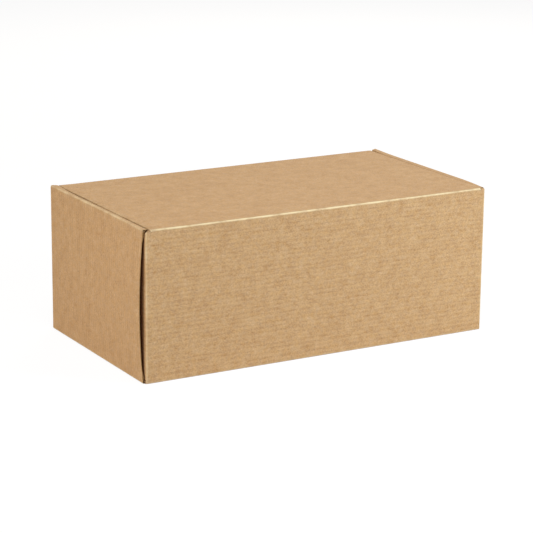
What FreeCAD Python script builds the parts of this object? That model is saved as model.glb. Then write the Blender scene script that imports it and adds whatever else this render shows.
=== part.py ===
import FreeCAD, Part
import math
import os
import Sketcher

# A postal box with a hinged lid, folded from thin corrugated board.
# Its ends are rolled over the corner flaps, and the lid's front flap tucks in.
# X runs along the box, Y from the hinge to the front, Z up from the floor.

VECTOR = FreeCAD.Vector
X_AXIS, Y_AXIS, Z_AXIS = VECTOR(1, 0, 0), VECTOR(0, 1, 0), VECTOR(0, 0, 1)
LEFT, RIGHT = -1, 1
BACK, FRONT = -1, 1

# Driving dimensions, in millimetres
SIZES = [
    ("box_length", 300, "outside, over the two end panels"),
    ("box_depth", 163, "outside, over the hinge wall and the front wall"),
    ("box_height", 115.5, "floor to the top of the lid"),
    ("board", 1.6, "thickness of the board"),
    ("layer_gap", 0.2, "air between two layers that lie together"),
    ("lid_gap", 0.3, "clearance round the lid and its flaps"),
    ("hinge_gap", 0.1, "clearance between the hinge wall and the lid"),
    ("edge_setback", 1.2, "end panel's upright edge, in from the wall's face"),
    ("roll_setback", 3.5, "rolled top's end, in from the wall's face"),
    ("roll_rise", 0.4, "rolled top above the lid"),
    ("end_bow", 2.7, "how far the loose edge of the left end stands out"),
    ("corner_drop", 1.1, "upright fold's top, below the lid's top"),
    ("front_drop", 0.5, "front wall's cut top, below the lid's top"),
    ("dust_length", 68, "reach of a corner flap behind the end panel"),
    ("dust_clear", 1.5, "corner flap's distance from the bottom and the lid"),
    ("dust_taper", 5, "corner flap's narrowing at each side"),
    ("flap_corner", 8, "rounding of the corner flaps and the side flaps"),
    ("tab_width", 26, "lock tab at the foot of the inner end panel"),
    ("tab_offset", 40, "lock tab's middle, from the middle of the box"),
    ("slot_play", 0.4, "slot's extra width at each side of a tab"),
    ("side_flap_depth", 34, "lid's side flap, below the lid"),
    ("side_flap_taper", 5, "side flap's narrowing at each end"),
    ("tuck_depth", 32, "front tuck flap, below the lid"),
    ("tuck_inset", 6, "tuck flap's end, in from the lid's side"),
    ("tuck_corner", 14, "rounding of the tuck flap"),
]

# Distances from the middle planes, from the outer layers to the inner ones
BOARD = "Sizes.board"
END_OUT = "Sizes.box_length / 2"
END_IN = f"({END_OUT} - {BOARD})"
DUST_OUT = f"({END_IN} - Sizes.layer_gap)"
WALL_END = f"({DUST_OUT} - {BOARD})"
INNER_OUT = f"({WALL_END} - Sizes.layer_gap)"
INNER_IN = f"({INNER_OUT} - {BOARD})"
LID_SIDE = f"({INNER_IN} - Sizes.lid_gap)"
LID_SIDE_FOLD = f"({LID_SIDE} - {BOARD})"
WALL_OUT = "Sizes.box_depth / 2"
WALL_IN = f"({WALL_OUT} - {BOARD})"
LID_FRONT = f"({WALL_IN} - Sizes.lid_gap)"
LID_FRONT_FOLD = f"({LID_FRONT} - {BOARD})"
END_EDGE = f"({WALL_OUT} - Sizes.edge_setback)"
ROLL_EDGE = f"({WALL_OUT} - Sizes.roll_setback)"

# Heights above the floor
LID_TOP = "Sizes.box_height"
LID_UNDER = f"({LID_TOP} - {BOARD})"
HINGE_WALL_TOP = f"({LID_UNDER} - Sizes.hinge_gap)"
FRONT_WALL_TOP = f"({LID_TOP} - Sizes.front_drop)"
CORNER_TOP = f"({LID_TOP} - Sizes.corner_drop)"
ROLL_TOP = f"({LID_TOP} + Sizes.roll_rise)"
ROLL_UNDER = f"({ROLL_TOP} - {BOARD})"
DUST_LOW = f"({BOARD} + Sizes.dust_clear)"
DUST_HIGH = f"({LID_UNDER} - Sizes.dust_clear)"

# The lid's flaps stay inside the circle that the front wall's inner face allows.
# The tuck flap leans in along a chord of it, and the side flaps end short of it.
SWING = f"(Sizes.box_depth - {BOARD})"
TUCK_LEAN = f"asin((Sizes.tuck_depth + 4 * {BOARD}) / (2 * {SWING}))"
SIDE_FLAP_LOW = f"({LID_UNDER} - Sizes.side_flap_depth)"
SIDE_FLAP_DROP = f"(Sizes.side_flap_depth + {BOARD})"
SIDE_FLAP_SWING = f"sqrt(pow({SWING}; 2) - pow({SIDE_FLAP_DROP}; 2))"
SIDE_FLAP_REACH = f"({SIDE_FLAP_SWING} - {WALL_OUT} - Sizes.side_flap_taper)"


def add_sheet(doc):
    """Put the driving dimensions into a spreadsheet, one alias for each."""
    sheet = doc.addObject("Spreadsheet::Sheet", "Sizes")
    for row, (alias, value, meaning) in enumerate(SIZES, start=1):
        sheet.set(f"A{row}", meaning)
        sheet.set(f"B{row}", str(value))
        sheet.setAlias(f"B{row}", alias)
    doc.recompute()


def on_side(side, distance):
    """A distance from the middle plane, on the chosen side of it."""
    return distance if side > 0 else f"-({distance})"


def between(side, near, far):
    """Low and high ends of a stretch from near to far on the chosen side."""
    ends = (near, far) if side > 0 else (far, near)
    return on_side(side, ends[0]), on_side(side, ends[1])


def both_sides(distance):
    """Low and high ends of a stretch across the middle plane."""
    return on_side(-1, distance), distance


def bind_position(item, x, y, z):
    """Bind an object's position to three expressions."""
    item.setExpression("Placement.Base.x", x)
    item.setExpression("Placement.Base.y", y)
    item.setExpression("Placement.Base.z", z)


def slab(doc, name, x, y, z):
    """A flat panel, from a low to a high end on each axis."""
    box = doc.addObject("Part::Box", name)
    box.setExpression("Length", f"{x[1]} - ({x[0]})")
    box.setExpression("Width", f"{y[1]} - ({y[0]})")
    box.setExpression("Height", f"{z[1]} - ({z[0]})")
    bind_position(box, x[0], y[0], z[0])
    return box


def fold(doc, name, centre, stretch, sides, angle="90"):
    """Board bent over a crease, as a round of the board's thickness.

    It sweeps from the first side to the second about the crease, whose place on
    its own axis is None and runs over the stretch.
    """
    first, second = sides
    along = first.cross(second)
    forward = along.dot(X_AXIS + Y_AXIS + Z_AXIS) > 0
    start = stretch[0] if forward else stretch[1]
    bend = doc.addObject("Part::Cylinder", name)
    bend.setExpression("Radius", BOARD)
    bend.setExpression("Height", f"{stretch[1]} - ({stretch[0]})")
    bend.setExpression("Angle", angle)
    turn = FreeCAD.Rotation(first, second, along, "XYZ")
    bend.Placement = FreeCAD.Placement(VECTOR(), turn)
    bind_position(bend, *[start if place is None else place for place in centre])
    return bend


def corner_round(doc, name, centre, x_side, y_side, upper):
    """An eighth of a ball that closes the corner where folds meet."""
    first, second = X_AXIS * x_side, Y_AXIS * y_side
    if x_side != y_side:
        first, second = second, first
    ball = doc.addObject("Part::Sphere", name)
    ball.setExpression("Radius", BOARD)
    ball.Angle1 = 0 if upper else -90
    ball.Angle2 = 90 if upper else 0
    ball.Angle3 = 90
    turn = FreeCAD.Rotation(first, second, Z_AXIS, "XYZ")
    ball.Placement = FreeCAD.Placement(VECTOR(), turn)
    bind_position(ball, *centre)
    return ball


def number(item, expression):
    """Present value of an expression."""
    found = item.evalExpression(expression)
    return float(getattr(found, "Value", found))


def pin(sketch, line, end, x, y):
    """Hold one end of a sketched line at two distances from the origin."""
    here = sketch.getPoint(line, end)
    for kind, value, expression in (("DistanceX", here.x, x), ("DistanceY", here.y, y)):
        rule = Sketcher.Constraint(kind, -1, 1, line, end, value)
        sketch.setExpression(f"Constraints[{sketch.addConstraint(rule)}]", expression)


def join(sketch, first, first_end, second, second_end):
    """Make the ends of two sketched lines meet."""
    sketch.addConstraint(
        Sketcher.Constraint("Coincident", first, first_end, second, second_end))


def set_radius(sketch, arc, value, expression):
    """Give a sketched arc its radius."""
    rule = Sketcher.Constraint("Radius", arc, value)
    sketch.setExpression(f"Constraints[{sketch.addConstraint(rule)}]", expression)


def outline(doc, name, corners):
    """A closed sketch through pinned corners, listed against the clock.

    A corner is its two places and its radius, which is None where it is sharp.
    Guide lines join the corners, and the sides and the arcs lie on the guides.
    """
    sketch = doc.addObject("Sketcher::SketchObject", name)
    points = [VECTOR(number(sketch, x), number(sketch, y), 0) for x, y, _ in corners]
    count = len(corners)
    following = [(i + 1) % count for i in range(count)]
    for i in range(count):
        sketch.addGeometry(Part.LineSegment(points[i], points[following[i]]), True)
        pin(sketch, i, 1, *corners[i][:2])
    for i in range(count):
        join(sketch, i, 2, following[i], 1)

    trims = [corner_trim(sketch, points, i, corners[i][2]) for i in range(count)]
    sides = []
    for i in range(count):
        direction = (points[following[i]] - points[i]).normalize()
        start = points[i] + direction * trims[i]
        end = points[following[i]] - direction * trims[following[i]]
        side = sketch.addGeometry(Part.LineSegment(start, end))
        for place, corner in ((1, i), (2, following[i])):
            if corners[corner][2] is None:
                join(sketch, side, place, i, place)
            else:
                sketch.addConstraint(Sketcher.Constraint("PointOnObject", side, place, i))
        sides.append(side)
    for i in range(count):
        if corners[i][2] is not None:
            round_corner(sketch, sides[i - 1], sides[i], corners[i][2])
    return sketch


def corner_trim(sketch, points, i, radius):
    """How far a corner's rounding reaches along its two sides."""
    if radius is None:
        return 0
    before = points[i - 1] - points[i]
    after = points[(i + 1) % len(points)] - points[i]
    return number(sketch, radius) / math.tan(before.getAngle(after) / 2)


def round_corner(sketch, before, after, radius):
    """An arc that leaves one side and runs into the next without a kink."""
    start, end = sketch.getPoint(before, 2), sketch.getPoint(after, 1)
    heading = (start - sketch.getPoint(before, 1)).normalize()
    inward = VECTOR(-heading.y, heading.x, 0)
    size = number(sketch, radius)
    centre = start + inward * size
    from_centre = [math.atan2(p.y - centre.y, p.x - centre.x) for p in (start, end)]
    circle = Part.Circle(centre, Z_AXIS, size)
    arc = sketch.addGeometry(Part.ArcOfCircle(circle, *from_centre))
    sketch.addConstraint(Sketcher.Constraint("Tangent", before, 2, arc, 1))
    sketch.addConstraint(Sketcher.Constraint("Tangent", arc, 2, after, 1))
    set_radius(sketch, arc, size, radius)


def thicken(doc, name, sketch):
    """A panel one board thick on the face of its outline."""
    panel = doc.addObject("Part::Extrusion", name)
    panel.Base = sketch
    panel.DirMode = "Normal"
    panel.Solid = True
    panel.setExpression("LengthFwd", BOARD)
    return panel


def cross_panel(doc, name, start, corners):
    """A panel that stands across the box, its outline given as Y and Z."""
    sketch = outline(doc, f"{name}_outline", corners)
    turn = FreeCAD.Rotation(Y_AXIS, Z_AXIS, X_AXIS, "XYZ")
    sketch.Placement = FreeCAD.Placement(VECTOR(), turn)
    sketch.setExpression("Placement.Base.x", start)
    return thicken(doc, name, sketch)


def against_the_clock(side, corners):
    """Corners that were listed for the positive side, put in order for either."""
    return corners if side > 0 else corners[::-1]


def fuse(doc, name, pieces):
    """One solid of all the pieces."""
    whole = doc.addObject("Part::MultiFuse", name)
    whole.Shapes = pieces
    whole.Refine = True
    return whole


def add_bottom(doc):
    """The bottom, with two slots at each end for the lock tabs."""
    panel = slab(doc, "bottom_panel", both_sides(END_IN), both_sides(WALL_IN), ("0", BOARD))
    half_slot = "(Sizes.tab_width / 2 + Sizes.slot_play)"
    across = (f"{INNER_IN} - Sizes.layer_gap", f"{INNER_OUT} + Sizes.layer_gap")
    slots = []
    for x_side in (LEFT, RIGHT):
        for y_side in (BACK, FRONT):
            middle = on_side(y_side, "Sizes.tab_offset")
            along = (f"{middle} - {half_slot}", f"{middle} + {half_slot}")
            through = (f"-{BOARD}", f"2 * {BOARD}")
            name = f"slot_{len(slots) + 1}"
            slots.append(slab(doc, name, between(x_side, *across), along, through))
    bottom = doc.addObject("Part::Cut", "bottom")
    bottom.Base = panel
    bottom.Tool = fuse(doc, "slots", slots)
    return bottom


def add_wall(doc, name, y_side, top):
    """A long wall, folded up from the bottom."""
    face = between(y_side, WALL_IN, WALL_OUT)
    panel = slab(doc, name, both_sides(WALL_END), face, (BOARD, top))
    crease = (None, on_side(y_side, WALL_IN), BOARD)
    foot = fold(doc, f"{name}_fold", crease, both_sides(WALL_END), (Y_AXIS * y_side, -Z_AXIS))
    return [panel, foot]


def add_corner(doc, name, x_side, y_side):
    """An upright fold at a wall's end, and the corner flap behind the end panel."""
    x, y = on_side(x_side, WALL_END), on_side(y_side, WALL_IN)
    sides = (X_AXIS * x_side, Y_AXIS * y_side)
    upright = fold(doc, f"{name}_fold", (x, y, None), (BOARD, CORNER_TOP), sides)
    foot = corner_round(doc, f"{name}_foot", (x, y, BOARD), x_side, y_side, upper=False)
    free = on_side(y_side, f"({WALL_IN} - Sizes.dust_length)")
    corners = [
        (free, f"{DUST_LOW} + Sizes.dust_taper", "Sizes.flap_corner"),
        (y, DUST_LOW, None),
        (y, DUST_HIGH, None),
        (free, f"{DUST_HIGH} - Sizes.dust_taper", "Sizes.flap_corner"),
    ]
    start = between(x_side, WALL_END, DUST_OUT)[0]
    flap = cross_panel(doc, f"{name}_flap", start, against_the_clock(y_side, corners))
    return [upright, foot, flap]


def add_end(doc, name, x_side):
    """An end that rises outside, rolls over the corner flaps and drops inside."""
    crease = on_side(x_side, END_IN)
    out, up, down = X_AXIS * x_side, Z_AXIS, -Z_AXIS
    foot = fold(doc, f"{name}_foot", (crease, None, BOARD), both_sides(END_EDGE), (out, down))
    roll = both_sides(ROLL_EDGE)
    outer = fold(doc, f"{name}_roll_outer", (crease, None, ROLL_UNDER), roll, (out, up))
    strip_x = between(x_side, INNER_OUT, END_IN)
    strip = slab(doc, f"{name}_roll_strip", strip_x, roll, (ROLL_UNDER, ROLL_TOP))
    inner_crease = (on_side(x_side, INNER_OUT), None, ROLL_UNDER)
    inner = fold(doc, f"{name}_roll_inner", inner_crease, roll, (-out, up))
    return [foot, outer, strip, inner, add_inner_panel(doc, f"{name}_inner", x_side)]


def add_inner_panel(doc, name, x_side):
    """The end's inner layer, whose two lock tabs stand in the bottom's slots."""
    foot, tab = f"({BOARD} + Sizes.layer_gap)", "Sizes.layer_gap"
    near = "(Sizes.tab_offset - Sizes.tab_width / 2)"
    far = "(Sizes.tab_offset + Sizes.tab_width / 2)"
    half = [(near, foot), (near, tab), (far, tab), (far, foot), (ROLL_EDGE, foot)]
    front_half = [(y, z, None) for y, z in half + [(ROLL_EDGE, ROLL_UNDER)]]
    back_half = [(on_side(BACK, y), z, None) for y, z, _ in front_half[::-1]]
    start = between(x_side, INNER_IN, INNER_OUT)[0]
    return cross_panel(doc, name, start, front_half + back_half)


def bow_section(doc, name, place, bowed):
    """Section of the left end panel: straight, or bowed out between its creases."""
    sketch = doc.addObject("Sketcher::SketchObject", name)
    outer, inner = on_side(LEFT, END_OUT), on_side(LEFT, END_IN)
    low, high = BOARD, ROLL_UNDER
    ends = []
    for height, first, second in ((high, outer, inner), (low, inner, outer)):
        points = [VECTOR(number(sketch, x), number(sketch, height), 0) for x in (first, second)]
        line = sketch.addGeometry(Part.LineSegment(*points))
        pin(sketch, line, 1, first, height)
        pin(sketch, line, 2, second, height)
        ends.append(line)
    top, foot = ends
    for top_end, foot_end in ((1, 2), (2, 1)):
        start, end = sketch.getPoint(top, top_end), sketch.getPoint(foot, foot_end)
        if bowed:
            side = add_bow(sketch, start, end, f"({high} - {low})")
        else:
            side = sketch.addGeometry(Part.LineSegment(start, end))
        join(sketch, top, top_end, side, 1)
        join(sketch, foot, foot_end, side, 2)
    turn = FreeCAD.Rotation(X_AXIS, Z_AXIS, -Y_AXIS, "XYZ")
    sketch.Placement = FreeCAD.Placement(VECTOR(), turn)
    sketch.setExpression("Placement.Base.y", place)
    return sketch


def add_bow(sketch, start, end, chord):
    """A shallow arc from an upper to a lower point, bulging to the left."""
    radius = f"(pow({chord}; 2) / 4 + pow(Sizes.end_bow; 2)) / (2 * Sizes.end_bow)"
    size = number(sketch, radius)
    middle = (start + end) / 2
    rise = math.asin((start.y - end.y) / 2 / size)
    centre = middle + X_AXIS * size * math.cos(rise)
    circle = Part.Circle(centre, Z_AXIS, size)
    arc = sketch.addGeometry(Part.ArcOfCircle(circle, math.pi - rise, math.pi + rise))
    set_radius(sketch, arc, size, radius)
    return arc


def add_bowed_panel(doc):
    """The left end's outer panel, whose edge beside the hinge wall stands out."""
    panel = doc.addObject("Part::Loft", "left_end_panel")
    panel.Sections = [
        bow_section(doc, "left_end_loose_edge", on_side(BACK, END_EDGE), bowed=True),
        bow_section(doc, "left_end_held_edge", on_side(FRONT, END_EDGE), bowed=False),
    ]
    panel.Solid = True
    panel.Ruled = True
    return panel


def add_straight_panel(doc):
    """The right end's outer panel."""
    across = between(RIGHT, END_IN, END_OUT)
    return slab(doc, "right_end_panel", across, both_sides(END_EDGE), (BOARD, ROLL_UNDER))


def add_tray(doc):
    """The open box: bottom, walls, corner flaps and rolled ends as one folded sheet."""
    pieces = [add_bottom(doc), add_bowed_panel(doc), add_straight_panel(doc)]
    pieces += add_wall(doc, "hinge_wall", BACK, HINGE_WALL_TOP)
    pieces += add_wall(doc, "front_wall", FRONT, FRONT_WALL_TOP)
    for x_name, x_side in (("left", LEFT), ("right", RIGHT)):
        pieces += add_end(doc, f"{x_name}_end", x_side)
        for y_name, y_side in (("back", BACK), ("front", FRONT)):
            pieces += add_corner(doc, f"{x_name}_{y_name}_corner", x_side, y_side)
    return fuse(doc, "tray", pieces)


def add_lid_side(doc, name, x_side):
    """One side of the lid: its fold, rounded corners and side flap."""
    crease = on_side(x_side, LID_SIDE_FOLD)
    back, front = on_side(BACK, WALL_IN), LID_FRONT_FOLD
    sides = (X_AXIS * x_side, Z_AXIS)
    bend = fold(doc, f"{name}_fold", (crease, None, LID_UNDER), (back, front), sides)
    rounds = [
        corner_round(doc, f"{name}_back_round", (crease, back, LID_UNDER), x_side, BACK, True),
        corner_round(doc, f"{name}_front_round", (crease, front, LID_UNDER), x_side, FRONT, True),
    ]
    rear = f"({back} + Sizes.lid_gap)"
    corners = [
        (rear, LID_UNDER, None),
        (f"{rear} + Sizes.side_flap_taper", SIDE_FLAP_LOW, "Sizes.flap_corner"),
        (SIDE_FLAP_REACH, SIDE_FLAP_LOW, "Sizes.flap_corner"),
        (f"{front} - Sizes.lid_gap", LID_UNDER, None),
    ]
    start = between(x_side, LID_SIDE_FOLD, LID_SIDE)[0]
    return [bend, *rounds, cross_panel(doc, f"{name}_flap", start, corners)]


def add_tuck_flap(doc):
    """The front flap, which leans in from the lid's front fold."""
    half = f"({LID_SIDE} - Sizes.tuck_inset)"
    low = "-Sizes.tuck_depth"
    corners = [
        (on_side(LEFT, half), "0", None),
        (on_side(LEFT, half), low, "Sizes.tuck_corner"),
        (half, low, "Sizes.tuck_corner"),
        (half, "0", None),
    ]
    sketch = outline(doc, "tuck_flap_outline", corners)
    sketch.Placement = FreeCAD.Placement(VECTOR(), FreeCAD.Rotation(X_AXIS, 90))
    sketch.setExpression("Placement.Rotation.Angle", f"90 deg - {TUCK_LEAN}")
    outward = f"{LID_FRONT_FOLD} + {BOARD} * cos({TUCK_LEAN})"
    sketch.setExpression("Placement.Base.y", outward)
    sketch.setExpression("Placement.Base.z", f"{LID_UNDER} - {BOARD} * sin({TUCK_LEAN})")
    return thicken(doc, "tuck_flap", sketch)


def add_lid(doc):
    """The lid: its panel, the fold at the hinge, the tuck flap and two side flaps."""
    along, back = both_sides(LID_SIDE_FOLD), on_side(BACK, WALL_IN)
    panel = slab(doc, "lid_panel", along, (back, LID_FRONT_FOLD), (LID_UNDER, LID_TOP))
    hinge = fold(doc, "hinge_fold", (None, back, LID_UNDER), along, (-Y_AXIS, Z_AXIS))
    front = (None, LID_FRONT_FOLD, LID_UNDER)
    bend = fold(doc, "tuck_fold", front, along, (Z_AXIS, Y_AXIS), f"90 deg + {TUCK_LEAN}")
    pieces = [panel, hinge, bend, add_tuck_flap(doc)]
    pieces += add_lid_side(doc, "lid_left", LEFT)
    pieces += add_lid_side(doc, "lid_right", RIGHT)
    return fuse(doc, "lid", pieces)


def check(doc, nodes):
    """Stop if any object failed, or if a node isn't one sound solid."""
    for item in doc.Objects:
        if "Invalid" in item.State or "Error" in item.State:
            raise RuntimeError(f"{item.Name} could not be built: {item.State}")
    for node in nodes:
        shape = node.Shape
        if shape.isNull() or not shape.isValid() or len(shape.Solids) != 1:
            raise RuntimeError(f"{node.Label} is not one valid solid")
        print(node.Label, "volume", round(shape.Volume), "mm3", shape.BoundBox)


document = FreeCAD.newDocument("postal_box")
add_sheet(document)
sub_parts = {"tray": add_tray(document), "lid": add_lid(document)}
for label, sub_part in sub_parts.items():
    sub_part.Label = label
document.recompute()
check(document, sub_parts.values())
os.makedirs("parts", exist_ok=True)
for label, sub_part in sub_parts.items():
    sub_part.Shape.exportStep(f"parts/{label}.step")
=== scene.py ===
# %% [markdown]
# # A postal box of thin corrugated board
# The box is one die-cut sheet of brown corrugated board, folded up without glue or tape.
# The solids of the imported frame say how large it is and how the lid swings. This script
# dresses them: it folds a real sheet again, with its two paper liners, the fluted paper
# between them, soft creases and open cut edges, and gives each paper its finish.

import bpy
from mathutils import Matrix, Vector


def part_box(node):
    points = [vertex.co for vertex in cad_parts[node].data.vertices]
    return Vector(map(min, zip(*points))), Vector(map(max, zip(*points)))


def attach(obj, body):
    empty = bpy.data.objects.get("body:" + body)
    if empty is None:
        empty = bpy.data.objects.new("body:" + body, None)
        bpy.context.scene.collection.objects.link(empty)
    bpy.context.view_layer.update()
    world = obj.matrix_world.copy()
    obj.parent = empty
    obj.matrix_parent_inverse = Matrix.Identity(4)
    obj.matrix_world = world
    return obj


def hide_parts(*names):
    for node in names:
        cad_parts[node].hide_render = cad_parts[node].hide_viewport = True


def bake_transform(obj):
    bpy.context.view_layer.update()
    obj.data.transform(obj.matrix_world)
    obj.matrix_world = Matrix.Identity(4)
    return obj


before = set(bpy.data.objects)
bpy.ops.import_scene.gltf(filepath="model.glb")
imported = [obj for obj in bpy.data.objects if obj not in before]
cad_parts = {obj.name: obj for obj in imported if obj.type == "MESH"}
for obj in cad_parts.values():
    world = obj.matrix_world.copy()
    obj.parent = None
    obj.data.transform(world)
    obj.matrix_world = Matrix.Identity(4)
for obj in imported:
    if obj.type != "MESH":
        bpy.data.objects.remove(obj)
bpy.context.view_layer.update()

# %% [markdown]
# ## Sizes
# The outside sizes come from the frame's solids, so the sheet always fits them. What the
# solids can't tell is named here: the board's thickness, the air between folded layers
# and the pitch of the flutes. Everything is in millimetres until a mesh is made.

# %% Sizes of the box and of its board
import math

import bpy
import numpy as np
from mathutils import Matrix, Vector

MM = 0.001
BOARD = 1.6
LAYER_GAP = 0.2
LINER = 0.24
MEDIUM = 0.18
FLUTE_PITCH = 3.4
FLUTE_STEP = FLUTE_PITCH / 6
WASHBOARD = 0.11

tray_low, tray_high = (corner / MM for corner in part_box("tray"))
lid_low, lid_high = (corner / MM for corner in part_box("lid"))

END_OUT = tray_high.x
END_IN = END_OUT - BOARD
WALL_END = END_IN - LAYER_GAP - BOARD
INNER_OUT = WALL_END - LAYER_GAP
WALL_OUT = tray_high.y
WALL_IN = WALL_OUT - BOARD
END_EDGE = WALL_OUT - 1.2
ROLL_EDGE = WALL_OUT - 3.5
ROLL_TOP = tray_high.z
ROLL_UNDER = ROLL_TOP - BOARD
LID_SIDE_FOLD = lid_high.x - BOARD
LID_FRONT_FOLD = lid_high.y - BOARD
LID_TOP = lid_high.z
LID_UNDER = LID_TOP - BOARD
HINGE_WALL_TOP = LID_UNDER - 0.1
CORNER_TOP = LID_TOP - 1.1
FRONT_WALL_TOP = LID_TOP - 0.5
SIDE_FLAP = LID_UNDER - lid_low.z
END_BOW = -tray_low.x - END_OUT
print(f"box {2 * END_OUT:.1f} x {2 * WALL_OUT:.1f} x {LID_TOP:.1f} mm, end bowed {END_BOW:.1f}")
print(f"{LID_TOP / FLUTE_PITCH:.0f} flutes to the height of a wall")

# %% [markdown]
# ## Following a fold
# A crease is a line where the board was pressed flat, so that the inner paper stays put
# and the outer one travels round it. A strip is therefore drawn by its inner line: it
# runs straight, stands still while it turns at a crease, and runs on. Every layer is then
# the inner line plus its own height along the outward normal. A swept bevel could round
# the corners too, but it would not keep the flutes and the two papers in step.

# %% The line that a folded strip follows
FOLD_LENGTH = 1.2


class FoldPath:
    """Inner line of a strip in its own plane, as along and out, by distance travelled.

    Between its knots the place and the heading change evenly. The outward normal is
    the heading turned a quarter to the left.
    """

    def __init__(self, start, heading, steps):
        self.at, self.along, self.out = [0.0], [start[0]], [start[1]]
        self.heading = [float(heading)]
        self.folds = []
        for kind, amount in steps:
            travel = amount if kind == "run" else 0.0
            turn = math.radians(self.heading[-1])
            self.along.append(self.along[-1] + travel * math.cos(turn))
            self.out.append(self.out[-1] + travel * math.sin(turn))
            self.heading.append(self.heading[-1] - (0.0 if kind == "run" else amount))
            self.at.append(self.at[-1] + (travel if kind == "run" else FOLD_LENGTH))
            if kind == "fold":
                self.folds.append((self.at[-2], self.at[-1]))

    def follow(self, s):
        """Along, out and heading in radians at the distances s."""
        return (np.interp(s, self.at, self.along), np.interp(s, self.at, self.out),
                np.radians(np.interp(s, self.at, self.heading)))

    def from_fold(self, s):
        """Distance from the nearest crease, which is 0 within one."""
        gaps = [np.maximum(np.maximum(low - s, s - high), 0) for low, high in self.folds]
        return np.min(gaps, axis=0) if gaps else np.full_like(s, 1e3)

    def from_middle(self, s):
        """Distance from the middle line of the nearest crease."""
        gaps = [np.abs(s - (low + high) / 2) for low, high in self.folds]
        return np.min(gaps, axis=0) if gaps else np.full_like(s, 1e3)

    def cuts(self, run_steps):
        """Distances at which to cut the strip, with a step for each run; folds take 8."""
        runs = iter(run_steps)
        folds = [low for low, _ in self.folds]
        parts = []
        for low, high in zip(self.at[:-1], self.at[1:]):
            step = FOLD_LENGTH / 8 if low in folds else next(runs)
            count = max(1, round((high - low) / step))
            parts.append(np.linspace(low, high, count + 1)[:-1])
        return np.concatenate(parts + [[self.at[-1]]])


# %% [markdown]
# ## A panel of board
# A panel is a grid over two distances: u runs along the flutes and v across them. Both
# may turn at creases, so one rule places the long walls with their corner flaps, the
# rolled ends, and the lid with its flaps. Cut outlines come from clamping u, row by row,
# between a low and a high limit, and then v in the same way. Where rows or columns fall
# together their corners are merged, so every layer stays a closed skin. Creased board
# makes a tighter corner than a round one, so its outer face stands out more in a crease.

# %% Grid of a panel
X_AXIS, Y_AXIS, Z_AXIS = np.eye(3)


class Panel:
    """A panel spanned by two fold paths.

    A point is the origin, plus both paths' along parts on their own axes, plus both
    out parts and the board's height on the outward side. The normal mixes the two
    turns as on a ball: cos b times (cos a out - sin a u) minus sin b v.
    """

    def __init__(self, origin, axes, paths, cuts, u_limits=None, v_limits=None, warp=None,
                 hole=None, crush=None, burnish_and_highlight=0.0):
        self.origin = np.array(origin, float)
        self.u_axis, self.v_axis, self.out_axis = axes
        self.u_path, self.v_path = paths
        u_cuts, v_cuts = cuts
        self.u, self.v = np.meshgrid(u_cuts, v_cuts)
        if u_limits is not None:
            self.u = np.clip(self.u, *u_limits(self.v))
        if v_limits is not None:
            self.v = np.clip(self.v, *v_limits(self.u))
        self.warp = warp
        self.burnish_and_highlight = burnish_and_highlight
        self.crush = crush(self.u, self.v) if crush else np.zeros_like(self.u)
        self.cells = np.ones((len(v_cuts) - 1, len(u_cuts) - 1), bool)
        if hole is not None:
            u_middle, v_middle = (u_cuts[1:] + u_cuts[:-1]) / 2, (v_cuts[1:] + v_cuts[:-1]) / 2
            self.cells &= ~hole(*np.meshgrid(u_middle, v_middle))

    def normal(self):
        """Parts of the outward normal along the u, v and out axes."""
        a, b = self.u_path.follow(self.u)[2], self.v_path.follow(self.v)[2]
        return np.stack([-np.cos(b) * np.sin(a), -np.sin(b), np.cos(b) * np.cos(a)], -1)

    def place(self, height):
        """Points of the grid at a height above the inner face, as rows of x, y, z."""
        a, a_out, _ = self.u_path.follow(self.u)
        b, b_out, _ = self.v_path.follow(self.v)
        shift = a_out + b_out
        if self.warp is not None:
            push, rise = self.warp(self.u, self.v)
            shift, a = shift + push, a + rise
        ways = np.stack([self.u_axis, self.v_axis, self.out_axis])
        points = self.origin + np.stack([a, b, shift], -1) @ ways
        points = points + height[..., None] * (self.normal() @ ways)
        return points.reshape(-1, 3)

    def from_fold(self):
        """Distance of each grid point from its nearest crease."""
        return np.minimum(self.u_path.from_fold(self.u), self.v_path.from_fold(self.v))

    def burnish_and_highlight_share(self):
        """Share of burnish and painted highlight at each grid point, which is 1 along the middle
        of a crease.
        """
        return np.exp(-(np.minimum(self.u_path.from_middle(self.u),
                                   self.v_path.from_middle(self.v)) / 0.32) ** 2)

    def outside(self):
        """Height of the outer face: the board's thickness, and more in a crease.

        It is the radius of a rounded cube towards the normal: the thickness over the
        fourth root of the sum of the normal's parts to the fourth power.
        """
        return BOARD / (self.normal() ** 4).sum(-1) ** 0.25

    def mirrored(self):
        """Whether u, v and out are in left-handed order, which turns faces round."""
        return np.dot(np.cross(self.u_axis, self.v_axis), self.out_axis) < 0


# %% [markdown]
# ## Layers of the board
# The fluted paper is a wave across the board, and the outer papers are glued to its
# crests. They sag a little between the crests, which is why real board shows faint even
# lines. Each paper is its own closed skin between a low and a high height, so the cut
# edges show what real ones show: two paper edges with the wave between them. A press line
# beside each crease is the dent that the creasing rule's counterpart leaves.

# %% Skins of the layers
FACE, CUT, FLUTED = 0, 1, 2
WELD = 0.0005
DENT_AT, DENT_DEPTH, DENT_WIDTH = 2.4, 0.09, 0.8


def open_sides(index, cells):
    """Starts and ends of the cell sides that have board on one side only."""
    framed = np.pad(cells, 1)
    right, left = framed[1:-1, 1:], framed[1:-1, :-1]
    above, below = framed[1:, 1:-1], framed[:-1, 1:-1]
    yield index[1:, :][right & ~left], index[:-1, :][right & ~left]
    yield index[:-1, :][left & ~right], index[1:, :][left & ~right]
    yield index[:, :-1][above & ~below], index[:, 1:][above & ~below]
    yield index[:, 1:][below & ~above], index[:, :-1][below & ~above]


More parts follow.
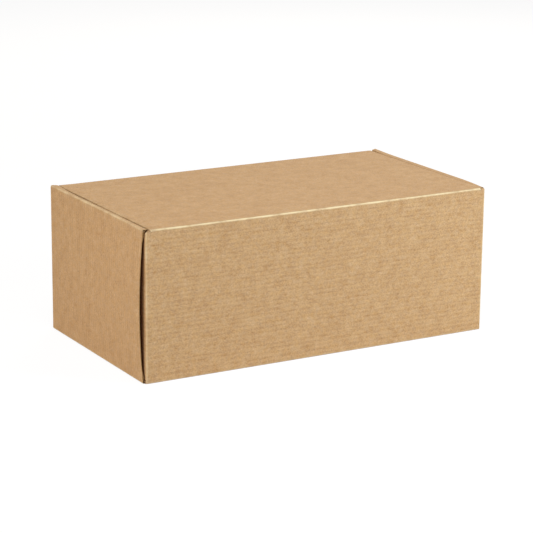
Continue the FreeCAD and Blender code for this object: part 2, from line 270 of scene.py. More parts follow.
def weld(points, triangles, papers, places):
    """Merge points that lie together and drop the triangles that vanish."""
    keys = np.round(points / WELD).astype(np.int64)
    _, first, back = np.unique(keys, axis=0, return_index=True, return_inverse=True)
    triangles = back.reshape(-1)[triangles]
    p, q, r = triangles.T
    kept = (p != q) & (q != r) & (r != p)
    return points[first], triangles[kept], papers[kept], places[first]


def skin(panel, low, high, paper):
    """A closed skin between two heights: points, triangles, papers and sheet places."""
    index = np.arange(panel.u.size).reshape(panel.u.shape)
    count, cells = panel.u.size, panel.cells
    corners = [index[:-1, :-1], index[:-1, 1:], index[1:, 1:], index[1:, :-1]]
    upper = np.stack([corner[cells] for corner in corners], 1)
    quads = [upper, upper[:, ::-1] + count]
    for start, end in open_sides(index, cells):
        quads.append(np.stack([end, start, start + count, end + count], 1))
    papers = np.full(sum(len(part) for part in quads), CUT)
    papers[:2 * len(upper)] = paper
    quads = np.concatenate(quads)
    if panel.mirrored():
        quads = quads[:, ::-1]
    triangles = np.concatenate([quads[:, [0, 1, 2]], quads[:, [0, 2, 3]]])
    points = np.concatenate([panel.place(high), panel.place(low)])
    # The third number is the share of burnish and painted crease highlight.
    places = np.stack([panel.u, panel.v, panel.burnish_and_highlight * panel.burnish_and_highlight_share()], -1).reshape(-1, 3)
    return weld(points, triangles, np.tile(papers, 2), np.tile(places, (2, 1)))


def board_skins(panel):
    """The outer liner, the inner liner and the fluted paper of a panel."""
    wave = np.cos(2 * np.pi * panel.v / FLUTE_PITCH)
    free = 1 - np.exp(-(panel.from_fold() / 1.6) ** 2)
    dent = DENT_DEPTH * np.exp(-((panel.from_fold() - DENT_AT) / DENT_WIDTH) ** 2)
    outside = panel.outside()
    top = outside - WASHBOARD / 2 * free * (1 - wave) - dent
    foot = WASHBOARD / 2 * free * (1 + wave) + panel.crush
    upper = outside - LINER - WASHBOARD / 2 - dent
    lower = LINER + WASHBOARD / 2 + panel.crush
    room = np.maximum((upper - lower - MEDIUM) / 2 - 0.01, 0)
    middle = (upper + lower) / 2 + room * wave * (0.35 + 0.65 * free)
    return [skin(panel, upper, top, FACE),
            skin(panel, foot, lower, FACE),
            skin(panel, middle - MEDIUM / 2, middle + MEDIUM / 2, FLUTED)]


# %% [markdown]
# ## From skins to a piece
# All the skins of a piece go into one mesh, in metres, with the faces that show a cut
# left flat and the paper faces smooth. Each point keeps its place on the flat sheet as
# an attribute, so that the papers' patterns follow the folds as real fibres do.

# %% Making the mesh of a piece


def make_piece(name, panels, materials):
    """One object at the origin from the skins of its panels."""
    parts = [part for panel in panels for part in board_skins(panel)]
    shifts = np.cumsum([0] + [len(points) for points, _, _, _ in parts])
    points = np.concatenate([part[0] for part in parts]) * MM
    triangles = np.concatenate([part[1] + shift for part, shift in zip(parts, shifts)])
    papers = np.concatenate([part[2] for part in parts])
    places = np.concatenate([part[3] for part in parts])
    mesh = bpy.data.meshes.new(name)
    mesh.vertices.add(len(points))
    mesh.vertices.foreach_set("co", points.ravel())
    mesh.loops.add(triangles.size)
    mesh.loops.foreach_set("vertex_index", triangles.ravel().astype(np.int32))
    mesh.polygons.add(len(triangles))
    mesh.polygons.foreach_set("loop_start", np.arange(0, triangles.size, 3, dtype=np.int32))
    mesh.polygons.foreach_set("material_index", papers.astype(np.int32))
    mesh.polygons.foreach_set("use_smooth", papers != CUT)
    sheet = mesh.attributes.new("sheet", "FLOAT_VECTOR", "POINT")
    sheet.data.foreach_set("vector", places.ravel())
    mesh.update(calc_edges=True)
    for material in materials:
        mesh.materials.append(material)
    piece = bpy.data.objects.new(name, mesh)
    bpy.context.scene.collection.objects.link(piece)
    print(f"{name}: {len(points)} points, {len(triangles)} triangles")
    return piece


# %% [markdown]
# ## Finishes
# Kraft liner is unbleached long-fibre paper, pressed smooth but not coated: matt, a warm
# light brown with cloudy spots a few millimetres wide, short fine fibres and a few darker
# flecks of bark. Along a crease the fibres are stretched and burnished, so they are
# lighter, and a painted highlight lies on the same line. The fluted paper and the cut
# edges are duller and a little rougher.

# %% Node helpers


def linear(code, alpha=1.0):
    """Linear colour of an sRGB hex code."""
    parts = [int(code[i:i + 2], 16) / 255 for i in (1, 3, 5)]
    return [c / 12.92 if c <= 0.04045 else ((c + 0.055) / 1.055) ** 2.4 for c in parts] + [alpha]


def add(tree, kind, settings=None, inputs=None):
    """Add a node; an input is a value or another node's output socket."""
    node = tree.nodes.new(kind)
    for name, value in (settings or {}).items():
        setattr(node, name, value)
    for name, value in (inputs or {}).items():
        socket = node.inputs[name]
        if isinstance(value, bpy.types.NodeSocket):
            tree.links.new(value, socket)
        else:
            socket.default_value = value
    return node


def new_material(name):
    """An empty node material and its tree."""
    material = bpy.data.materials.new(name)
    material.use_nodes = True
    material.node_tree.nodes.clear()
    return material, material.node_tree


# %% [markdown]
# ## Patterns of kraft paper
# All three papers are the same recipe with other numbers. The pattern reads the place on
# the flat sheet in millimetres, so each noise scale is one over the size of its grain.
# Cloudy spots are 8 mm wide. Real fibres are about 2 mm long and only 0.03 mm wide, too
# fine for any picture, so they are drawn wide enough to show. Clouds and grain are solid
# noises, which don't stretch where the sheet is bent.

# %% Noises of the paper
CLOUD_SIZE, BLOTCH_SIZE, GRAIN_SIZE = 8.0, 3.5, 0.75
FIBRE_LONG, FIBRE_WIDE = 1.8, 0.7
STREAK_LONG, STREAK_WIDE = 45.0, 1.8
DASH_LONG = 7.0


def paper_noises(tree, place):
    """Noises by name: some in the object's space, some along the flutes of the sheet."""
    solid = add(tree, "ShaderNodeTexCoord").outputs["Object"]
    along_flutes = {}
    for pattern, length, width in (("fibres", FIBRE_LONG, FIBRE_WIDE),
                                   ("streaks", STREAK_LONG, STREAK_WIDE),
                                   ("dashes", DASH_LONG, FLUTE_PITCH)):
        along_flutes[pattern] = add(tree, "ShaderNodeMapping", inputs={
            "Vector": place, "Scale": (1 / length, 1 / width, 0.0)}).outputs[0]
    noises = {}
    for pattern, where, scale, detail in (("clouds", solid, 1 / (CLOUD_SIZE * MM), 4.0),
                                          ("blotches", solid, 1 / (BLOTCH_SIZE * MM), 2.0),
                                          ("tints", place, 1 / BLOTCH_SIZE, 3.0),
                                          ("grain", solid, 1 / (GRAIN_SIZE * MM), 2.0),
                                          ("fibres", along_flutes["fibres"], 1.0, 3.0),
                                          ("streaks", along_flutes["streaks"], 1.0, 2.0),
                                          ("dashes", along_flutes["dashes"], 1.0, 2.0)):
        noises[pattern] = add(tree, "ShaderNodeTexNoise", inputs={
            "Vector": where, "Scale": scale, "Detail": detail}).outputs[0]
    return noises


# %% [markdown]
# ## From patterns to one tone
# The noises are added up with weights to one number per place, which a colour ramp turns
# into paper colour later. Faint darker lines are painted along the flutes: partly the
# darker tone of the glue lines, and partly painted shade of the liner that sags between
# the crests. A real line comes and goes, so its wave is multiplied by a noise of long
# dashes.

# %% Tone of the paper
WEIGHTS = {"clouds": 0.45, "blotches": 0.14, "streaks": 0.15, "fibres": 0.60, "grain": 0.95}
# Weight of the flute lines: glue-line tone and painted shade of the sagging liner.
FLUTE_LINE_TONE_AND_SHADE = 0.092


def weighted_sum(tree, base, terms):
    """Base plus each value times its weight."""
    total = base
    for value, weight in terms:
        total = add(tree, "ShaderNodeMath", {"operation": "MULTIPLY_ADD"}, {
            0: value, 1: weight, 2: total}).outputs[0]
    return total


def paper_tone(tree, across, noises):
    """Weighted noises around 0.5, plus the broken flute lines at a distance across."""
    turn = add(tree, "ShaderNodeMath", {"operation": "MULTIPLY"}, {
        0: across, 1: 2 * math.pi / FLUTE_PITCH}).outputs[0]
    wave = add(tree, "ShaderNodeMath", {"operation": "COSINE"}, {0: turn}).outputs[0]
    uneven = weighted_sum(tree, -1.0, [(noises["dashes"], 3.0)])
    line = add(tree, "ShaderNodeMath", {"operation": "MULTIPLY"}, {0: wave, 1: uneven}).outputs[0]
    tone = weighted_sum(tree, 0.5 - sum(WEIGHTS.values()) / 2, [
        (noises[pattern], weight) for pattern, weight in WEIGHTS.items()])
    return weighted_sum(tree, tone, [(line, FLUTE_LINE_TONE_AND_SHADE)])


# %% [markdown]
# ## Painted crease highlights and slit shade
# Where the board was pressed, its liner is stretched and burnished, which makes it lighter,
# and a painted highlight for the light that the rounded crease catches lies on the same
# line. The sheet's third number says how much, and clouds break the line up. Deep in a
# slit the light has met brown paper many times, so the paper there is painted dark red:
# painted shade. An ambient occlusion node tells how open each place is, and closed places
# are darkened and lose their shine.

# %% Painted crease highlights and slit shade
# Colour of the painted crease highlight, and colour of the painted shade in slits.
CREASE_HIGHLIGHT_COLOUR, SLIT_SHADE = "#FFEABA", "#8A4526"
SLIT_DEPTH = 8.0


def crease_highlight_and_slit_shade(tree, colour, burnish_and_highlight_share, clouds):
    """The colour with painted highlights on creases and painted shade in slits, and how open each
    place is.
    """
    uneven = weighted_sum(tree, -0.3, [(clouds, 2.6)])
    share = add(tree, "ShaderNodeMath", {"operation": "MULTIPLY"}, {
        0: burnish_and_highlight_share, 1: uneven}).outputs[0]
    # Painted highlight: crease lines are lightened, partly for burnished paper and partly for
    # light caught in the crease.
    burnished_and_highlit = add(tree, "ShaderNodeMix", {"data_type": "RGBA"}, {
        "Factor": share, 6: colour, 7: linear(CREASE_HIGHLIGHT_COLOUR)}).outputs[2]
    open_air = add(tree, "ShaderNodeAmbientOcclusion", {"samples": 8}, {
        "Distance": SLIT_DEPTH * MM}).outputs["AO"]
    lit = add(tree, "ShaderNodeMapRange", inputs={
        "Value": open_air, "From Min": 0.05, "From Max": 0.40}).outputs[0]
    # Painted shade: closed places are darkened towards the slit colour.
    painted_slit_shade = add(tree, "ShaderNodeMix", {"data_type": "RGBA", "blend_type": "MULTIPLY"}, {
        "Factor": 1.0, 6: burnished_and_highlit, 7: linear(SLIT_SHADE)}).outputs[2]
    shown = add(tree, "ShaderNodeMix", {"data_type": "RGBA"}, {
        "Factor": lit, 6: painted_slit_shade, 7: burnished_and_highlit}).outputs[2]
    return shown, lit


# %% [markdown]
# ## The three papers
# The ramp goes from a dark to a light paper colour around the base colour. Another noise
# makes spots a little more or less saturated, since liner is made from mixed pulp, and a
# few flecks of bark are darker. The relief of fibres and grain is only 0.12 mm deep.

# %% Papers of the board
FLECK_SIZE = 1.6
TINT = 0.30
RELIEF = 0.12


def paper(name, dark, base, light, fleck, roughness):
    """A procedural paper: clouds, fibres, grain, flecks, flute lines with painted shade, painted
    crease highlights and painted slit shade.
    """
    material, tree = new_material(name)
    place = add(tree, "ShaderNodeAttribute", {"attribute_name": "sheet"}).outputs["Vector"]
    split = add(tree, "ShaderNodeSeparateXYZ", inputs={0: place}).outputs
    noises = paper_noises(tree, place)
    ramp = add(tree, "ShaderNodeValToRGB", inputs={"Fac": paper_tone(tree, split["Y"], noises)})
    first, last = ramp.color_ramp.elements
    first.color, last.color = linear(dark), linear(light)
    ramp.color_ramp.elements.new(0.5).color = linear(base)
    tinted = add(tree, "ShaderNodeHueSaturation", inputs={
        "Color": ramp.outputs[0],
        "Saturation": weighted_sum(tree, 1.0 - TINT / 2, [(noises["tints"], TINT)])}).outputs[0]
    flecks = add(tree, "ShaderNodeTexNoise", inputs={
        "Vector": place, "Scale": 1 / FLECK_SIZE, "Detail": 1.0, "Distortion": 1.2}).outputs[0]
    spots = add(tree, "ShaderNodeMapRange", inputs={
        "Value": flecks, "From Min": 0.70, "From Max": 0.78, "To Max": 0.5}).outputs[0]
    specked = add(tree, "ShaderNodeMix", {"data_type": "RGBA"}, {
        "Factor": spots, 6: tinted, 7: linear(fleck)}).outputs[2]
    shown, lit = crease_highlight_and_slit_shade(tree, specked, split["Z"], noises["clouds"])
    # Painted shade on the shine: closed places lose their specular reflection.
    shine = add(tree, "ShaderNodeMath", {"operation": "MULTIPLY"}, {0: lit, 1: 0.5}).outputs[0]
    relief = add(tree, "ShaderNodeBump", inputs={
        "Height": weighted_sum(tree, 0.0, [(noises["fibres"], 0.6), (noises["grain"], 0.6)]),
        "Strength": 0.5, "Distance": RELIEF * MM}).outputs[0]
    shader = add(tree, "ShaderNodeBsdfPrincipled", inputs={
        "Base Color": shown, "Roughness": roughness, "IOR": 1.5, "Specular IOR Level": shine,
        "Normal": relief})
    add(tree, "ShaderNodeOutputMaterial", inputs={"Surface": shader.outputs[0]})
    return material


# Unbleached kraft liner, pressed smooth by the paper machine: matt, warm light brown.
KRAFT = paper("kraft_liner_machine_pressed", "#A77846", "#CEA473", "#E9C592", "#7E5832", 0.80)
# The same board cut through by a steel rule: open fibres, a little darker and duller.
EDGE = paper("kraft_board_die_cut_edge", "#98703D", "#BD935C", "#D8B27F", "#7E5832", 0.90)
# Fluting paper from recycled pulp, rolled hot between gears: the dullest and darkest.
FLUTE = paper("fluting_paper_rolled", "#886238", "#AC8351", "#C69D68", "#725231", 0.90)
BOARD_PAPERS = (KRAFT, EDGE, FLUTE)
print("papers:", [material.name for material in BOARD_PAPERS])

# %% [markdown]
# ## The bottom
# A flat panel with the four slots that the end panels' tabs lock into. The slots are
# grid cells left out, so their walls close by themselves.

# %% Bottom
TAB_NEAR, TAB_FAR = 27.0, 53.0
SLOT_PLAY = 0.4


def flat_path(low, high):
    """A path with no crease, from low to high."""
    return FoldPath((low, 0.0), 0.0, [("run", high - low)])


def with_marks(cuts, marks):
    """Cuts moved so that each mark has one exactly on it."""
    cuts = np.array(cuts)
    for mark in marks:
        cuts[np.argmin(np.abs(cuts - mark))] = mark
    return cuts


slot_x = (INNER_OUT - BOARD - LAYER_GAP, INNER_OUT + LAYER_GAP)
slot_y = (TAB_NEAR - SLOT_PLAY, TAB_FAR + SLOT_PLAY)


def in_slot(u, v):
    """Whether a place on the bottom, measured from its corner, lies in a slot."""
    x, y = np.abs(u - END_IN), np.abs(v - WALL_IN)
    return (x > slot_x[0]) & (x < slot_x[1]) & (y > slot_y[0]) & (y < slot_y[1])


bottom_paths = flat_path(-END_IN, END_IN), flat_path(-WALL_IN, WALL_IN)
edges_x = [END_IN + side * x for side in (-1, 1) for x in slot_x]
edges_y = [WALL_IN + side * y for side in (-1, 1) for y in slot_y]
bottom_u = np.unique(np.concatenate([np.linspace(0, 2 * END_IN, 11), edges_x]))
bottom_v = with_marks(bottom_paths[1].cuts([FLUTE_STEP]), edges_y)
bottom = Panel((0, 0, BOARD), (X_AXIS, Y_AXIS, -Z_AXIS), bottom_paths, (bottom_u, bottom_v),
               hole=in_slot)
bottom_piece = make_piece("tray_bottom", [bottom], BOARD_PAPERS)

# %% [markdown]
# ## The long walls and their corner flaps
# Each long wall rises from the bottom's crease, and its two ends turn through a quarter
# to become the corner flaps that hide behind the end panels. The flaps are trapezoids
# with rounded free corners, a little shorter than the wall is high. Beside each upright
# crease the die cuts the wall's upper edge lower, which leaves room for the roll.

# %% Long walls
FLAP_LENGTH, FLAP_CORNER, FLAP_TAPER = 68.0, 8.0, 5.0
FLAP_LOW, FLAP_HIGH = BOARD + 1.5, CORNER_TOP - 2.0
CORNER_STEPS = (-FOLD_LENGTH, -FOLD_LENGTH / 2, 0.0, 1.1, 1.7, 2.3)


def rounded_reach(length, radius, from_corner):
    """Reach of an outline beside a rounded corner, at a distance from the corner."""
    inside = np.clip(radius - from_corner, 0, radius)
    return length - radius + np.sqrt(radius ** 2 - inside ** 2)


def flap_reach(z):
    """How far a corner flap reaches at a height: its tapered edges, then its corners."""
    from_edge = np.minimum(z - FLAP_LOW, FLAP_HIGH - z)
    tapered = FLAP_LENGTH * from_edge / FLAP_TAPER
    rounded = rounded_reach(FLAP_LENGTH, FLAP_CORNER, from_edge - 0.85 * FLAP_TAPER)
    return np.clip(np.minimum(tapered, rounded), 0, FLAP_LENGTH)


def make_wall(side, top, left_tops, right_tops):
    """A long wall with its foot fold and both corner flaps, for the side -1 or 1.

    Its upper edge is at the height top between the corners. The other tops are heights
    at CORNER_STEPS, measured inwards from each upright fold's end, joined by lines.
    """
    u_path = FoldPath((-WALL_END, -FLAP_LENGTH), 90.0, [
        ("run", FLAP_LENGTH), ("fold", 90.0), ("run", 2 * WALL_END), ("fold", 90.0),
        ("run", FLAP_LENGTH)])
    highest = max(top, *left_tops, *right_tops)
    v_path = FoldPath((BOARD, 0.0), 90.0, [("fold", 90.0), ("run", highest - BOARD)])
    first, last = u_path.folds[0][0], u_path.folds[1][1]
    corner = u_path.folds[0][1], u_path.folds[1][0]

    def u_limits(v):
        reach = flap_reach(BOARD + v - FOLD_LENGTH)
        return first - reach, last + reach

    def v_limits(u):
        z_left = np.interp(u - corner[0], CORNER_STEPS, left_tops + (top,))
        z_right = np.interp(corner[1] - u, CORNER_STEPS, right_tops + (top,))
        z = np.where(u < sum(corner) / 2, z_left, z_right)
        return np.zeros_like(u), z - BOARD + FOLD_LENGTH

    marks = [end + way * step for end, way in zip(corner, (1, -1)) for step in CORNER_STEPS[3:]]
    cuts = (np.unique(np.concatenate([u_path.cuts([9.0, 24.0, 9.0]), marks])),
            v_path.cuts([FLUTE_STEP]))
    return Panel((0, side * WALL_IN, 0), (X_AXIS, Z_AXIS, side * Y_AXIS),
                 (u_path, v_path), cuts, u_limits, v_limits, burnish_and_highlight=0.4)


low_left = tuple(LID_TOP - drop for drop in (2.6, 1.2, 0.6, 0.4, 0.4))
high_right = tuple(LID_TOP - drop for drop in (1.9, 0.8, 0.3, 0.2, 0.2))
level = 5 * (CORNER_TOP,)
hinge_panel = make_wall(-1, HINGE_WALL_TOP, low_left, high_right)
hinge_wall = make_piece("hinge_wall", [hinge_panel], BOARD_PAPERS)
front_panel = make_wall(1, FRONT_WALL_TOP, level, level)
front_wall = make_piece("front_wall", [front_panel], BOARD_PAPERS)

# %% [markdown]
# ## The rolled ends
# An end rises outside the corner flaps, rolls over their tops and drops inside, where two
# tabs lock it into the bottom. Its flutes run upwards. The left end's outer panel bows
# outwards beside the hinge wall, so a dark slit shows the flap behind it. No end is
# quite true: its roll is pinched, lifted or trimmed by a millimetre here and there.

# %% Ends
ROLL_WIDTH = END_IN - INNER_OUT
ROLL_TRIM = (0.0, 1.1, 2.2, 3.2, END_EDGE - ROLL_EDGE)
EDGE_CRUSH, EDGE_CRUSH_WIDTH = 0.95, 1.6
PINCH_DOWN, LIFT_ALONG, LIFT_DOWN = 20.0, 16.0, 30.0


def make_end(side, bow, pinch, sag, lifts, setbacks, burnish_and_highlight):
    """A rolled end, for the side -1 or 1.

    The outer panel is pushed out by bow times the arc 4z(1-z), fading to the front, and
    its roll is pinched in halfway along. The roll's hinge and front ends stand proud by
    lifts, which fade as exp(-(distance / reach) squared) along it and down the panel.
    Its inner edge lies lower than the outer one by sag. The setbacks keep the edge
    beside the hinge wall back, from the foot up to the roll and across it. Cut edges are
    crushed by the die, which thins the board there.
    """
    rise, drop = ROLL_UNDER - BOARD, ROLL_UNDER - BOARD - LAYER_GAP
    u_path = FoldPath((BOARD, 0.0), 90.0, [
        ("fold", 90.0), ("run", rise), ("fold", 90.0), ("run", ROLL_WIDTH), ("fold", 90.0),
        ("run", drop), ("run", BOARD)])
    v_path = flat_path(-END_EDGE, END_EDGE)
    last = u_path.at[-1]
    roll_from, roll_to = u_path.at[2], u_path.at[5]

    def u_limits(v):
        y = np.abs(v - END_EDGE)
        tabs = (y > TAB_NEAR) & (y < TAB_FAR)
        return np.zeros_like(v), np.where(tabs, last, last - BOARD)

    def set_back(u):
        heights = (0.0, 15.0, 60.0, rise - 8.0, rise + FOLD_LENGTH,
                   rise + FOLD_LENGTH + ROLL_WIDTH)
        return np.interp(u - FOLD_LENGTH, heights, setbacks)

    def v_limits(u):
        knots = u_path.at[2:6] + [roll_to + 6.0]
        trim = np.interp(u, knots, ROLL_TRIM)
        return trim + set_back(u), 2 * END_EDGE - trim

    def warp(u, v):
        z = np.clip(u - FOLD_LENGTH, 0, rise) / rise
        y = v / END_EDGE - 1
        bowed = bow * 4 * z * (1 - z) * (1 - y) / 2
        down = np.maximum(roll_from - u, 0)
        on_roll = np.interp(u, (roll_from + FOLD_LENGTH, roll_to - FOLD_LENGTH), (1.0, 0.0))
        pinched = pinch * (1 - y ** 2) * np.exp(-(down / PINCH_DOWN) ** 2) * on_roll
        near_hinge = np.exp(-(v / LIFT_ALONG) ** 2)
        near_front = np.exp(-((2 * END_EDGE - v) / LIFT_ALONG) ** 2)
        inside = np.maximum(u - roll_to, 0)
        fading = np.exp(-(down / LIFT_DOWN) ** 2) * np.exp(-(inside / LIFT_DOWN) ** 2)
        raised = (lifts[0] * near_hinge + lifts[1] * near_front) * fading
        knots = (roll_from + FOLD_LENGTH, roll_to - FOLD_LENGTH, roll_to, last)
        lower = sag * np.interp(u, knots, (0, 1, 1, 0))
        return bowed - pinched, raised - lower * (1 - near_front)

    def crush(u, v):
        from_edge = np.minimum(v - set_back(u), 2 * END_EDGE - v)
        outer = np.clip(np.minimum(u - FOLD_LENGTH, roll_from - u) / 4.0, 0, 1)
        return EDGE_CRUSH * np.exp(-(from_edge / EDGE_CRUSH_WIDTH) ** 2) * outer

    cuts = u_path.cuts([8.0, 1.0, 14.0, 1.0]), v_path.cuts([FLUTE_STEP])
    return Panel((side * END_IN, 0, 0), (Z_AXIS, Y_AXIS, side * X_AXIS),
                 (u_path, v_path), cuts, u_limits, v_limits, warp, crush=crush,
                 burnish_and_highlight=burnish_and_highlight)


# The last argument sets how much burnish and painted crease highlight each piece gets.
left_panel = make_end(-1, bow=END_BOW, pinch=1.2, sag=0.5, lifts=(0.0, 0.5),
                      setbacks=(1.4, 2.1, 1.7, 0.9, 0.2, 0.2), burnish_and_highlight=0.5)
left_end = make_piece("left_end", [left_panel], BOARD_PAPERS)
right_panel = make_end(1, bow=0.0, pinch=0.0, sag=0.3, lifts=(-0.9, 0.5),
                       setbacks=(3.1, 3.1, 3.1, 3.1, 2.6, 0.0), burnish_and_highlight=0.0)
right_end = make_piece("right_end", [right_panel], BOARD_PAPERS)

# %% [markdown]
# ## The lid
# The lid is the same sheet's last panel: a top with a side flap at each end, which tucks
# inside the rolled end, and a long front flap with big rounded corners that tucks behind
# the front wall. The flutes run the long way through the top and the front flap. A real
# lid is never quite straight, so its side edges are pushed by up to a millimetre, and the
# grid is finer there.

# %% Lid
TUCK_DEPTH, TUCK_INSET, TUCK_CORNER = 32.0, 6.0, 14.0
SIDE_FLAP_CORNER, SIDE_FLAP_TAPER, SIDE_FLAP_FRONT = 8.0, 5.0, 70.9
tuck_swing = LID_FRONT_FOLD + BOARD + WALL_OUT + 0.3
lid_turn = math.degrees(math.asin((TUCK_DEPTH + 4 * BOARD) / (2 * tuck_swing)))
lid_u = FoldPath((-LID_SIDE_FOLD, -SIDE_FLAP), 90.0, [
    ("run", SIDE_FLAP), ("fold", 90.0), ("run", 2 * LID_SIDE_FOLD), ("fold", 90.0),
    ("run", SIDE_FLAP)])
lid_v = FoldPath((-WALL_IN, 0.0), 0.0, [
    ("run", WALL_IN + LID_FRONT_FOLD), ("fold", 90.0 + lid_turn), ("run", TUCK_DEPTH)])
side_first, side_last = lid_u.folds[0][0], lid_u.folds[1][1]
tuck_to = lid_v.folds[0][1]


def side_flap_reach(v):
    """Reach of a side flap beside each place along the lid, from the hinge."""
    y = v - WALL_IN
    rear = -WALL_IN + 0.3
    front = LID_FRONT_FOLD - 0.3
    at_rear = SIDE_FLAP * (y - rear) / SIDE_FLAP_TAPER
    at_front = SIDE_FLAP * (front - y) / (front - SIDE_FLAP_FRONT)
    rounded = np.minimum(
        rounded_reach(SIDE_FLAP, SIDE_FLAP_CORNER, y - rear - 0.8 * SIDE_FLAP_TAPER),
        rounded_reach(SIDE_FLAP, SIDE_FLAP_CORNER, front - 0.8 * (front - SIDE_FLAP_FRONT) - y))
    return np.clip(np.minimum(np.minimum(at_rear, at_front), rounded), 0, SIDE_FLAP)


def lid_limits(v):
    """Lowest and highest u of the lid's outline: side flaps, then the tuck flap."""
    reach = side_flap_reach(v)
    half = LID_SIDE_FOLD + BOARD - TUCK_INSET
    down = v - tuck_to
    tuck = rounded_reach(half, TUCK_CORNER, TUCK_DEPTH - down)
    middle = (side_first + side_last) / 2
    low = np.where(down > 0.05, middle - tuck, side_first - reach)
    high = np.where(down > 0.05, middle + tuck, side_last + reach)
    return low, high


LEFT_SEAM, SEAM_REACH = 0.7, 25.0
LEFT_RISE, LEFT_REACH = 0.3, 15.0
RIGHT_RISE, RIGHT_REACH = 0.35, 12.0


def lid_warp(u, v):
    """The left edge lies a little inwards, and the right edge sinks towards the front.

    Each push fades as exp(-(distance from the fold / reach) squared). The left seam
    narrows by 85 percent around y = 0.4, where y goes from 0 at the hinge to 1.
    """
    from_left = np.maximum(u - lid_u.folds[0][1], 0)
    from_right = np.maximum(lid_u.folds[1][0] - u, 0)
    y = np.clip(v / (WALL_IN + LID_FRONT_FOLD), 0, 1)
    seam = LEFT_SEAM * (1 - 0.85 * np.exp(-((y - 0.40) / 0.22) ** 2)) * np.clip(0.3 + v / 20, 0, 1)
    inwards = seam * np.exp(-(from_left / SEAM_REACH) ** 2)
    risen = (LEFT_RISE * np.exp(-(from_left / LEFT_REACH) ** 2)
             + RIGHT_RISE * (1 - 0.7 * y) * np.exp(-(from_right / RIGHT_REACH) ** 2))
    return risen, inwards


beside_folds = [end + way * step for end, way in ((lid_u.folds[0][1], 1), (lid_u.folds[1][0], -1))
                for step in (1.0, 4.0, 9.0, 16.0, 24.0)]
lid_cuts = (np.unique(np.concatenate([lid_u.cuts([12.0, 28.0, 12.0]), beside_folds])),
            lid_v.cuts([FLUTE_STEP, FLUTE_STEP]))
lid_panel = Panel((0, 0, LID_UNDER), (X_AXIS, Y_AXIS, Z_AXIS), (lid_u, lid_v), lid_cuts,
                  lid_limits, warp=lid_warp, burnish_and_highlight=0.25)
lid_piece = make_piece("lid_sheet", [lid_panel], BOARD_PAPERS)

# %% [markdown]
# ## The hinge crease
# The hinge is no part of its own: it is the crease between the hinge wall and the lid.
# As one piece of the tray or of the lid it would tear open when the lid swings, so it is
# a narrow piece of its own, attached to neither.

# %% Hinge crease
hinge_v = FoldPath((-WALL_IN, HINGE_WALL_TOP - LID_UNDER), 90.0, [
    ("run", LID_UNDER - HINGE_WALL_TOP), ("fold", 90.0)])


def hinge_limits(v):
    """The crease ends in the lid's side folds."""
    return np.full_like(v, side_first), np.full_like(v, side_last)


def crease_warp(u, v):
    """The lid's own warp, which it takes on while it turns away from the wall."""
    part = np.interp(v, hinge_v.folds[0], (0.0, 1.0))
    risen, inwards = lid_warp(u, 0 * v)
    return risen * part, inwards * part


hinge_cuts = np.unique(np.clip(lid_cuts[0], side_first, side_last)), hinge_v.cuts([0.1])
crease_panel = Panel((0, 0, LID_UNDER), (X_AXIS, Y_AXIS, Z_AXIS), (lid_u, hinge_v), hinge_cuts,
                     hinge_limits, warp=crease_warp, burnish_and_highlight=1.0)
hinge_piece = make_piece("hinge_crease", [crease_panel], BOARD_PAPERS)

# %% [markdown]
# ## Fixing the pieces to the frame
# Every piece of the tray stands for the tray's solid and moves with it, and the lid does
# the same. The crease keeps its place and is attached to neither.

# %% Bodies
for piece in (bottom_piece, hinge_wall, front_wall, left_end, right_end):
    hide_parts("tray")
    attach(piece, "tray")
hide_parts("lid")
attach(lid_piece, "lid")
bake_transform(hinge_piece)
print("pieces on the frame")

# %% [markdown]
# ## Floor and background
# The floor is a pale disc that looks white where light falls on it and keeps a soft
# shadow. It shines a little by itself, but only towards the camera, so it doesn't light
# the box; the same switch makes the world white behind it.

# %% Floor and world
FLOOR_RADIUS, FLOOR_DROP = 6.0, 0.0002
FLOOR_GLOW, AMBIENT = 0.90, 0.20


def seen_directly(tree):
    """1 for rays from the camera and for mirrored or refracted ones, else 0."""
    path = add(tree, "ShaderNodeLightPath")
    either = add(tree, "ShaderNodeMath", {"operation": "MAXIMUM"}, {
        0: path.outputs["Is Camera Ray"], 1: path.outputs["Is Glossy Ray"]})
    return add(tree, "ShaderNodeMath", {"operation": "MAXIMUM"}, {
        0: either.outputs[0], 1: path.outputs["Is Transmission Ray"]}).outputs[0]


# White paper on a roll, uncoated: matt, so that it shows a soft shadow and no reflection.
floor_paint, tree = new_material("floor_matt_white_paper")
soft = add(tree, "ShaderNodeBsdfDiffuse", inputs={"Color": linear("#6E6E6E")})
glow = add(tree, "ShaderNodeEmission", inputs={"Color": linear("#FFFFFF"), "Strength": FLOOR_GLOW})
shown = add(tree, "ShaderNodeAddShader", inputs={0: soft.outputs[0], 1: glow.outputs[0]})
bounce = add(tree, "ShaderNodeBsdfDiffuse", inputs={"Color": linear("#E6E6E6")})
surface = add(tree, "ShaderNodeMixShader", inputs={
    0: seen_directly(tree), 1: bounce.outputs[0], 2: shown.outputs[0]})
add(tree, "ShaderNodeOutputMaterial", inputs={"Surface": surface.outputs[0]})

angles = np.linspace(0, 2 * np.pi, 96, endpoint=False)
rim = np.stack([np.cos(angles), np.sin(angles), 0 * angles], 1) * FLOOR_RADIUS
rim[:, 2] = -FLOOR_DROP
floor_mesh = bpy.data.meshes.new("floor")
floor_mesh.from_pydata(rim.tolist(), [], [list(range(len(rim)))])
floor_mesh.materials.append(floor_paint)
floor = bpy.data.objects.new("floor", floor_mesh)
bpy.context.scene.collection.objects.link(floor)

world = bpy.data.worlds.new("studio")
world.use_nodes = True
world.node_tree.nodes.clear()
tree = world.node_tree
strength = add(tree, "ShaderNodeMapRange", inputs={
    "Value": seen_directly(tree), "To Min": AMBIENT, "To Max": 1.0})
background = add(tree, "ShaderNodeBackground", inputs={
    "Color": linear("#FFFFFF"), "Strength": strength.outputs[0]})
add(tree, "ShaderNodeOutputWorld", inputs={"Surface": background.outputs[0]})
bpy.context.scene.world = world
print("floor and world ready")

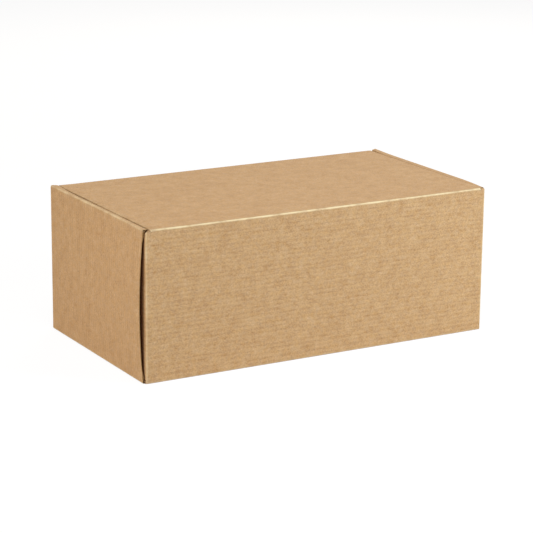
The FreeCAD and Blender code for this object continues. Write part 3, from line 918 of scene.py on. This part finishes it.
# %% [markdown]
# ## Lights
# Four large soft lamps, as in a photographer's light tent. The one low at the right makes
# the long wall lighter towards its right, the ones high and behind make the lid the
# lightest face, and the weak one at the left keeps the end a shade darker than the rest.
# Light adds up, so their powers can be found from one render with each lamp alone.

# %% Lamps


def add_lamp(name, place, target, size, power, colour="#FFFFFF"):
    """A square area lamp in metres and watts that faces a target."""
    data = bpy.data.lights.new(name, "AREA")
    data.size = size
    data.energy = power
    data.color = linear(colour)[:3]
    lamp = bpy.data.objects.new(name, data)
    lamp.location = place
    facing = np.array(target) - np.array(place)
    lamp.rotation_euler = Vector(facing).to_track_quat("-Z", "Y").to_euler()
    bpy.context.scene.collection.objects.link(lamp)
    print(f"lamp {name}: {power} W, {size} m wide")


add_lamp("low_right", (0.80, -0.85, 0.45), (0.10, 0.0, 0.05), 0.5, 9.1, "#EAF6FF")
add_lamp("high_left", (-0.40, -0.45, 1.20), (0.0, 0.0, 0.10), 0.7, 5.9)
add_lamp("left", (-0.80, -0.12, 0.15), (-0.15, 0.0, 0.05), 0.3, 1.5, "#FFF6EF")
add_lamp("rear", (0.90, 1.20, 0.90), (0.10, 0.05, 0.05), 0.8, 8.9, "#FFEEDC")

# %% [markdown]
# ## Camera
# The photograph was taken from the left and a little above, with a long lens: 29.9
# degrees to the left of the long wall's face, looking 15.1 degrees down.

# %% Camera
YAW, PITCH, ROLL = (math.radians(angle) for angle in (29.875, 15.141, 0.546))
camera_data = bpy.data.cameras.new("camera")
camera_data.sensor_width = 36.0
camera_data.lens = 141.33
camera = bpy.data.objects.new("camera", camera_data)
camera.matrix_world = (Matrix.Translation((-0.79522, -1.38162, 0.48226))
                       @ Matrix.Rotation(-YAW, 4, "Z")
                       @ Matrix.Rotation(math.pi / 2 - PITCH, 4, "X")
                       @ Matrix.Rotation(ROLL, 4, "Z"))
bpy.context.scene.collection.objects.link(camera)
bpy.context.scene.camera = camera
bpy.context.scene.view_settings.view_transform = "Standard"
print(f"camera with a {camera_data.lens:.0f} mm lens")
